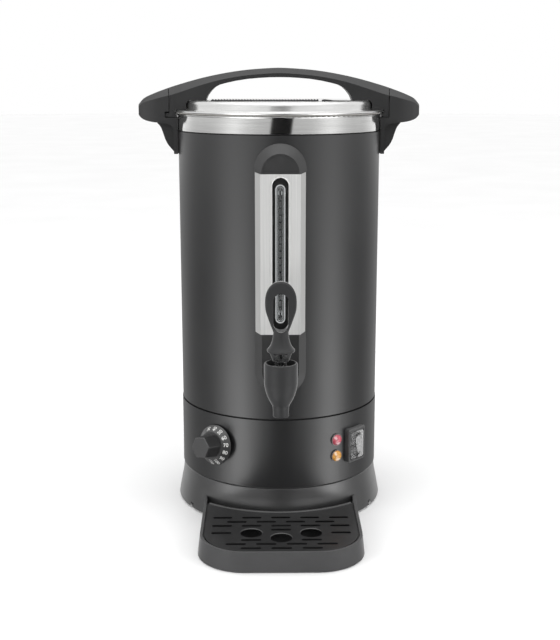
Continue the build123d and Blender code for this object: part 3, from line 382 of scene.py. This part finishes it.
PAINT_SPEC = 1.0
L_FRONT, L_LEFT, L_RIGHT, L_WIDTH, L_SINK, L_BACK = 0.07, 0.80, 0.80, (19.0, 17.0), 3.9, 0.40
L_HIGH, L_TOP, L_SOFT = 0.80, 1.0, 1.08
GAP = (11.0, 12.6, 0.0)
M = {
    "paint": painted("powder_coat_charcoal", (0.0098, 0.0100, 0.0105), 0.34),
    "steel_round": brushed("steel_brushed_round", "round", colour=(0.79, 0.79, 0.78), aniso=0.9, rough=0.13),
    # steel_up: the folded sides of the faceplate carry painted shade
    "steel_up": brushed("steel_brushed_upright", "up", colour=(0.76, 0.76, 0.75), rough=0.52, aniso=0.8, metallic=0.72, fold_shade_from=22.3),
    "steel_lid": brushed("steel_brushed_lid", "lid", colour=(0.90, 0.90, 0.89), aniso=0.7, rough=0.28),
    "black": moulded("plastic_black_satin", (0.0125, 0.0125, 0.0128), 0.44),
    "black_handle": moulded("plastic_black_handle", (0.0150, 0.0150, 0.0155), 0.46, grain=0.0007, strength=0.4, spec=0.6),
    "skirt": moulded("plastic_skirt_satin", (0.0170, 0.0170, 0.0174), 0.34, strength=0.2, coat=0.9, coat_ior=1.9, sag=0.05),
    # tray: the basin under the grille carries painted shade
    "tray": moulded("plastic_tray_satin", (0.048, 0.048, 0.049), 0.62, strength=0.3, spec=0.4, sheen=0.35, well_shade=True),
    "dial": moulded("plastic_dial_grille", (0.0115, 0.0115, 0.0118), 0.38, strength=0.2),
    "tap": moulded("plastic_tap_charcoal", (0.024, 0.0243, 0.025), 0.50, depth=0.00003, strength=0.25, sheen=0.9, spec=0.3),
    "knob": moulded("plastic_knob_black", (0.020, 0.020, 0.0205), 0.40, strength=0.2),
    "frame": moulded("plastic_switch_black", (0.012, 0.012, 0.0122), 0.34, strength=0.15),
    "surround": moulded("plastic_switch_surround", (0.040, 0.040, 0.0405), 0.42, strength=0.2, sheen=0.4),
    "bezel": moulded("plastic_lamp_bezel", (0.16, 0.135, 0.135), 0.46, strength=0.2, sheen=0.5),
    "rubber": moulded("rubber_black", (0.012, 0.012, 0.012), 0.72, strength=0.5),
    "silicone": moulded("silicone_grey", (0.36, 0.35, 0.33), 0.48, strength=0.2, vary=0.06),
    "bakelite": moulded("bakelite_brown", (0.045, 0.028, 0.020), 0.38),
    "ceramic": moulded("ceramic_white", (0.62, 0.60, 0.55), 0.30, vary=0.05, strength=0.15),
    "zinc": metal("zinc_plated", (0.60, 0.61, 0.62), 0.26),
    "alu": metal("aluminium_plate", (0.66, 0.66, 0.67), 0.34),
    "element": metal("element_sheath", (0.16, 0.14, 0.13), 0.42, patina=0.4),
    "brass": metal("brass_turned", (0.62, 0.47, 0.22), 0.28),
    "glass": sight_glass("sight_tube"),
    "cover": boot("splash_cover", 46.5, 89.0),
    "red": lens("lens_red", (0.28, 0.040, 0.060), (0.50, 0.090, 0.125), 0.02, 33.2, 99.8),
    "amber": lens("lens_amber", (0.40, 0.17, 0.030), (0.66, 0.33, 0.070), 0.03, 33.2, 80.0),
    "stripe": dashes("level_line"),
    "wire": wrapped_wire("braided_sleeve"),
    "print": moulded("dial_print_white", (0.80, 0.80, 0.78), 0.5, strength=0.1, vary=0.12),
}
FINISH = {
    "outer_shell": "paint", "base_shell": "paint", "inner_tank": "steel_round", "tank_ring": "black", "base_skirt": "skirt",
    "base_plate": "zinc", "feet": "rubber", "base_screws": "zinc", "tie_rod": "zinc", "tie_nut": "zinc", "heat_spreader": "alu",
    "heating_element": "element", "cutout_body": "bakelite", "reset_button": "black", "ear_right": "black_handle",
    "ear_left": "black_handle", "ear_pads": "rubber", "ear_screws": "zinc", "gauge_housing": "black", "gauge_faceplate": "steel_up",
    "gauge_tube": "glass", "gauge_stripe": "stripe", "gauge_seals": "silicone", "tap_shroud": "tap", "tap_body": "black",
    "tap_shank": "brass", "tap_nut": "brass", "tap_washers": "silicone", "tap_bonnet": "tap", "lever_pin": "tap",
    "tap_lever": "tap", "link_pin": "tap", "tap_stem": "zinc", "seat_cup": "silicone", "tap_spring": "zinc",
    "thermostat_body": "bakelite", "thermostat_nut": "zinc", "thermostat_shaft": "zinc", "thermostat_knob": "knob",
    "thermostat_bulb": "brass", "switch_body": "black", "switch_frame": "surround", "switch_rocker": "frame", "switch_axle": "zinc",
    "switch_cover": "cover", "lamp_holders": "bezel", "lamp_lens_red": "red", "lamp_lens_amber": "amber",
    "terminal_block": "ceramic", "cord_gland": "black", "gland_nut": "black", "wiring": "wire", "lid_pan": "steel_lid",
    "lid_gasket": "silicone", "lid_handle": "black_handle", "lid_screws": "zinc", "vent_strip": "frame", "drip_tray": "tray",
    "drip_grille": "dial",
}


# ------------------------------------------------------------------ shading of the carried-over pieces
def smooth_group():
    """Geometry node group: faces smooth, edges over the angle sharp."""
    g = bpy.data.node_groups.new("smooth_by_angle", "GeometryNodeTree")
    g.interface.new_socket("Geometry", in_out="INPUT", socket_type="NodeSocketGeometry")
    a = g.interface.new_socket("Angle", in_out="INPUT", socket_type="NodeSocketFloat")
    a.default_value = math.radians(32)
    g.interface.new_socket("Geometry", in_out="OUTPUT", socket_type="NodeSocketGeometry")
    i, o = g.nodes.new("NodeGroupInput"), g.nodes.new("NodeGroupOutput")
    faces = g.nodes.new("GeometryNodeSetShadeSmooth")
    faces.domain = "FACE"
    faces.inputs["Shade Smooth"].default_value = True
    edges = g.nodes.new("GeometryNodeSetShadeSmooth")
    edges.domain = "EDGE"
    ang = g.nodes.new("GeometryNodeInputMeshEdgeAngle")
    cmp_ = g.nodes.new("FunctionNodeCompare")
    cmp_.data_type = "FLOAT"
    cmp_.operation = "LESS_EQUAL"
    g.links.new(i.outputs[0], faces.inputs["Geometry"])
    g.links.new(faces.outputs[0], edges.inputs["Geometry"])
    g.links.new(ang.outputs["Unsigned Angle"], cmp_.inputs["A"])
    g.links.new(i.outputs[1], cmp_.inputs["B"])
    g.links.new(cmp_.outputs[0], edges.inputs["Shade Smooth"])
    g.links.new(edges.outputs[0], o.inputs[0])
    return g


SMOOTH = smooth_group()


def finish_edges(o, width=0.0, segments=2, angle=32, limit=28):
    """Welds the imported facets, rounds the hard edges a little and smooths the rest."""
    if "custom_normal" in o.data.attributes:
        o.data.attributes.remove(o.data.attributes["custom_normal"])
    w = o.modifiers.new("weld", "WELD")
    w.merge_threshold = 0.00001
    if width > 0:
        d = o.modifiers.new("planar", "DECIMATE")
        d.decimate_type = "DISSOLVE"
        d.angle_limit = math.radians(0.4)
        b = o.modifiers.new("edge", "BEVEL")
        b.width = width * MM
        b.segments = segments
        b.limit_method = "ANGLE"
        b.angle_limit = math.radians(limit)
        b.use_clamp_overlap = True
        b.miter_outer = "MITER_ARC"
    s = o.modifiers.new("smooth", "NODES")
    s.node_group = SMOOTH
    n = o.modifiers.new("normals", "WEIGHTED_NORMAL")
    n.keep_sharp = True
    n.weight = 60


EDGES = {
    "ear_right": 0.9, "ear_left": 0.9, "lid_handle": 0.9, "gauge_housing": 0.5, "gauge_faceplate": 0.25, "base_skirt": 0.4,
    "tap_shroud": 0.35, "tap_bonnet": 0.3, "tap_lever": 0.45, "thermostat_knob": 0.3, "switch_frame": 0.3, "switch_rocker": 0.35,
    "drip_tray": 0.6, "drip_grille": 0.3, "vent_strip": 0.2, "lamp_holders": 0.25, "cord_gland": 0.4, "base_plate": 0.0,
}
for name, obj in NODE.items():
    m = M[FINISH[name]]
    obj.data.materials.clear()
    obj.data.materials.append(m)
    finish_edges(obj, EDGES.get(name, 0.0))
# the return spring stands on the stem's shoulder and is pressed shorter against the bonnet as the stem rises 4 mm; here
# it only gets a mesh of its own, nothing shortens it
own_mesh(NODE["tap_spring"])


# ------------------------------------------------------------------ helpers for new pieces
def add_mesh(name, bm, mat, body, smooth=True):
    me = bpy.data.meshes.new(name)
    bm.to_mesh(me)
    bm.free()
    if smooth:
        for p in me.polygons:
            p.use_smooth = True
    o = bpy.data.objects.new(name, me)
    scene.collection.objects.link(o)
    me.materials.append(mat)
    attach(o, body)
    return o


def outward(az, d, z):
    """Matrix of the plane facing outward at azimuth az: local x to the right, y up, z outward."""
    a = math.radians(az)
    x, y, n = Vector((math.cos(a), math.sin(a), 0)), Vector((0, 0, 1)), Vector((math.sin(a), -math.cos(a), 0))
    m = Matrix.Identity(4)
    for i in range(3):
        m[i][0], m[i][1], m[i][2] = x[i], y[i], n[i]
        m[i][3] = n[i] * d * MM
    m[2][3] += z * MM
    return m


# ------------------------------------------------------------------ dial numbers on the thermostat knob
AZ_KNOB, Z_KNOB, KNOB_TILT, KNOB_FOOT = -37.5, 93.0, 8.0, 122.0
slope = math.atan2(133.4 - 126.6, 23.2 - 16.4)   # the dial's cone rises inwards


def leaning(az, z, tilt, foot):
    """Like outward, but the outward axis leans up by tilt about the point at distance foot."""
    a, t = math.radians(az), math.radians(tilt)
    x = Vector((math.cos(a), math.sin(a), 0))
    n = Vector((math.sin(a) * math.cos(t), -math.cos(a) * math.cos(t), math.sin(t)))
    y = n.cross(x)
    o = (Vector((math.sin(a), -math.cos(a), 0)) * foot + Vector((0, 0, z)) - n * foot) * MM
    m = Matrix.Identity(4)
    for i in range(3):
        m[i][0], m[i][1], m[i][2], m[i][3] = x[i], y[i], n[i], o[i]
    return m


knob_m = leaning(AZ_KNOB, Z_KNOB, KNOB_TILT, KNOB_FOOT)


def on_dial(phi, r, lift):
    """Matrix on the dial's cone at clockwise angle phi: local x runs outward down the cone, local z off it."""
    f = math.radians(phi)
    radial = Vector((math.sin(f), math.cos(f), 0))
    tang = Vector((-math.cos(f), math.sin(f), 0))      # anticlockwise, which is up for text that reads outward
    down = (radial * math.cos(slope) - Vector((0, 0, 1)) * math.sin(slope)).normalized()
    nrm = (radial * math.sin(slope) + Vector((0, 0, 1)) * math.cos(slope)).normalized()
    d = 133.4 - (r - 16.4) * math.tan(slope)
    pos = radial * r * MM + Vector((0, 0, d * MM)) + nrm * lift * MM
    m = Matrix.Identity(4)
    for i in range(3):
        m[i][0], m[i][1], m[i][2], m[i][3] = down[i], tang[i], nrm[i], pos[i]
    return m


for k in range(9):
    phi = -23.0 + 25.6 * k
    cu = bpy.data.curves.new(f"dial_number_{k}", "FONT")
    cu.body = str(30 + 10 * k)
    cu.size = 6.2 * MM
    cu.align_x = "CENTER"
    cu.align_y = "CENTER"
    cu.extrude = 0.02 * MM
    cu.space_character = 1.0
    cu.materials.append(M["print"])
    t = bpy.data.objects.new(f"dial_number_{k}", cu)
    scene.collection.objects.link(t)
    t.matrix_world = knob_m @ on_dial(phi, 19.7, 0.03)
    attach(t, "knob")


# ------------------------------------------------------------------ dark flaps behind the skirt's vent notches: painted shade, added for the look
# They stand in for the shade under the base and keep the pale floor from showing through the notches; they are not in
# the CAD.
def arc_strip(name, az_mid, half, r0, r1, z0, z1, mat, body, n=8):
    bm = bmesh.new()
    rings = []
    for i in range(n + 1):
        a = math.radians(az_mid - half + 2 * half * i / n)
        c = (math.sin(a), -math.cos(a))
        rings.append([bm.verts.new((c[0] * r * MM, c[1] * r * MM, z * MM)) for r, z in ((r0, z0), (r1, z0), (r1, z1), (r0, z1))])
    for a, b in zip(rings, rings[1:]):
        for k in range(4):
            bm.faces.new((a[k], a[(k + 1) % 4], b[(k + 1) % 4], b[k]))
    bm.faces.new(rings[0][::-1])
    bm.faces.new(rings[-1])
    bmesh.ops.recalc_face_normals(bm, faces=bm.faces)
    return add_mesh(name, bm, mat, body, smooth=False)


for k, a in enumerate((-58.7, 61.3, -118.7, 121.3)):
    arc_strip(f"vent_shade_flap_{k}", a, 5.0, 120.8, 121.8, 0.8, 8.6, M["rubber"], "urn_body")

# ------------------------------------------------------------------ stage, light, camera
cam_data = bpy.data.cameras.new("camera")
cam = bpy.data.objects.new("camera", cam_data)
scene.collection.objects.link(cam)
scene.camera = cam
cam_data.sensor_width = 36.0
cam_data.sensor_fit = "AUTO"
cam_data.lens = 1117.516 * 36.0 / 640.0
cam_data.clip_end = 100.0
TURN, PITCH = math.radians(-0.75), math.radians(12.4317)
base = Vector((1.2 * MM, -1355.4 * MM, 520.75 * MM))
base.rotate(Matrix.Rotation(TURN, 3, "Z"))
look = Vector((0, math.cos(PITCH), -math.sin(PITCH)))
look.rotate(Matrix.Rotation(TURN, 3, "Z"))
cam.location = base
cam.rotation_mode = "QUATERNION"
cam.rotation_quaternion = look.to_track_quat("-Z", "Y")

# pale floor
bm = bmesh.new()
bmesh.ops.create_circle(bm, cap_ends=True, segments=96, radius=14.0)
me = bpy.data.meshes.new("floor")
bm.to_mesh(me)
bm.free()
floor = bpy.data.objects.new("floor", me)
scene.collection.objects.link(floor)
fg = Graph("floor_pale")
fg.set(Base_Color=fg.mix(fg.ramp(fg.noise(3.0, 3.0), 0.3, 0.7, 0.0, 1.0), (0.88, 0.88, 0.88), (0.91, 0.91, 0.91)))
fg.p.inputs["Roughness"].default_value = 0.75
fg.p.inputs["Specular IOR Level"].default_value = 0.2
me.materials.append(fg.mat)

# Studio surroundings. What the camera sees and what lights the object softly is plain white. What polished and
# satin surfaces mirror is a light tent with a dark gap at the front and a brighter panel on each side.
world = bpy.data.worlds.new("studio")
scene.world = world
world.use_nodes = True
wn = world.node_tree
wn.nodes.clear()


def wnode(kind, **props):
    n = wn.nodes.new(kind)
    for k, v in props.items():
        setattr(n, k, v)
    return n


def wmath(op, a, b=None):
    n = wnode("ShaderNodeMath", operation=op)
    for i, v in enumerate((a, b)):
        if v is None:
            continue
        if isinstance(v, (int, float)):
            n.inputs[i].default_value = v
        else:
            wn.links.new(v, n.inputs[i])
    return n.outputs[0]


def step(value, lo, hi, a=0.0, b=1.0):
    """Smooth change from a to b as value goes from lo to hi, in degrees."""
    n = wnode("ShaderNodeMapRange", interpolation_type="SMOOTHSTEP")
    n.inputs["From Min"].default_value = math.radians(lo)
    n.inputs["From Max"].default_value = math.radians(hi)
    n.inputs["To Min"].default_value = a
    n.inputs["To Max"].default_value = b
    wn.links.new(value, n.inputs["Value"])
    return n.outputs["Result"]


def bell(value, centre, width):
    t = wmath("DIVIDE", wmath("SUBTRACT", value, math.radians(centre)), math.radians(width))
    return wmath("EXPONENT", wmath("MULTIPLY", wmath("MULTIPLY", t, t), -1.0))


wc = wnode("ShaderNodeTexCoord")
ws = wnode("ShaderNodeSeparateXYZ")
wn.links.new(wc.outputs["Generated"], ws.inputs[0])
dx, dy, dz = ws.outputs
az = wmath("ARCTAN2", dx, wmath("MULTIPLY", dy, -1.0))
aabs = wmath("ABSOLUTE", az)
el = wmath("ARCSINE", dz)
back = wmath("MULTIPLY", wmath("MULTIPLY", step(aabs, 105, 150), L_BACK), step(el, -24, -10, 0.35, 1.0))
low = wmath("ADD", wmath("ADD", step(el, -5.2, -1.8, L_FRONT, 0.88), step(el, -6, -20, 0.0, 0.25)), back)
left = wmath("SUBTRACT", az, step(el, -8, -20, 0.0, math.radians(6.5)))
panels = wmath("ADD", wmath("MULTIPLY", bell(left, -54, L_WIDTH[0]), L_LEFT), wmath("MULTIPLY", bell(az, 61, L_WIDTH[1]), L_RIGHT))
panels = wmath("MULTIPLY", panels, wmath("MULTIPLY", step(el, -7, -2.2, 1.0, 0.06), step(el, -5, -22, 1.0, L_SINK)))
low = wmath("ADD", low, panels)
high = wmath("ADD", L_HIGH, wmath("MULTIPLY", step(el, 38, 62), L_TOP))
amt = step(el, 2, 10)
mixed = wmath("ADD", wmath("MULTIPLY", low, wmath("SUBTRACT", 1.0, amt)), wmath("MULTIPLY", high, amt))
gap = wmath("MAXIMUM", step(wmath("ABSOLUTE", wmath("SUBTRACT", az, math.radians(2.2))), GAP[0], GAP[1], GAP[2], 1.0), step(el, 9, 20))
tent = wmath("MULTIPLY", mixed, gap)

wo = wnode("ShaderNodeOutputWorld")
seen, lit, mirror = wnode("ShaderNodeBackground"), wnode("ShaderNodeBackground"), wnode("ShaderNodeBackground")
seen.inputs["Strength"].default_value = 1.0
seen.inputs["Color"].default_value = (1, 1, 1, 1)
lit.inputs["Strength"].default_value = L_SOFT
lit.inputs["Color"].default_value = (1, 1, 1, 1)
mirror.inputs["Color"].default_value = (1, 1, 1, 1)
wn.links.new(tent, mirror.inputs["Strength"])
path = wnode("ShaderNodeLightPath")
m1, m2 = wnode("ShaderNodeMixShader"), wnode("ShaderNodeMixShader")
wn.links.new(path.outputs["Is Glossy Ray"], m1.inputs[0])
wn.links.new(lit.outputs[0], m1.inputs[1])
wn.links.new(mirror.outputs[0], m1.inputs[2])
wn.links.new(path.outputs["Is Camera Ray"], m2.inputs[0])
wn.links.new(m1.outputs[0], m2.inputs[1])
wn.links.new(seen.outputs[0], m2.inputs[2])
wn.links.new(m2.outputs[0], wo.inputs[0])
floor.visible_glossy = False


def softbox(name, az, dist, z, w, h, power, tilt=0.0):
    """Area light at azimuth az (0 is the front, + to the right), facing the urn's axis."""
    d = bpy.data.lights.new(name, "AREA")
    d.shape = "RECTANGLE"
    d.size, d.size_y = w, h
    d.energy = power
    o = bpy.data.objects.new(name, d)
    scene.collection.objects.link(o)
    a = math.radians(az)
    o.location = (math.sin(a) * dist, -math.cos(a) * dist, z)
    aim = Vector((0, 0, 0.25 + tilt)) - o.location
    o.rotation_mode = "QUATERNION"
    o.rotation_quaternion = aim.to_track_quat("-Z", "Y")
    o.visible_camera = False
    o.visible_glossy = False
    return o


softbox("softbox_left", -50, 1.7, 0.9, 0.9, 1.3, 9)
softbox("softbox_right", 55, 1.7, 0.9, 0.9, 1.3, 9)
softbox("softbox_top", 0, 0.2, 2.0, 1.4, 1.4, 8)

scene.view_settings.view_transform = "Standard"
scene.view_settings.look = "None"
scene.cycles.use_denoising = True
scene.cycles.max_bounces = 12
scene.cycles.transmission_bounces = 10
scene.cycles.transparent_max_bounces = 12
scene.cycles.sample_clamp_indirect = 6.0
scene.cycles.caustics_reflective = False
scene.cycles.caustics_refractive = False
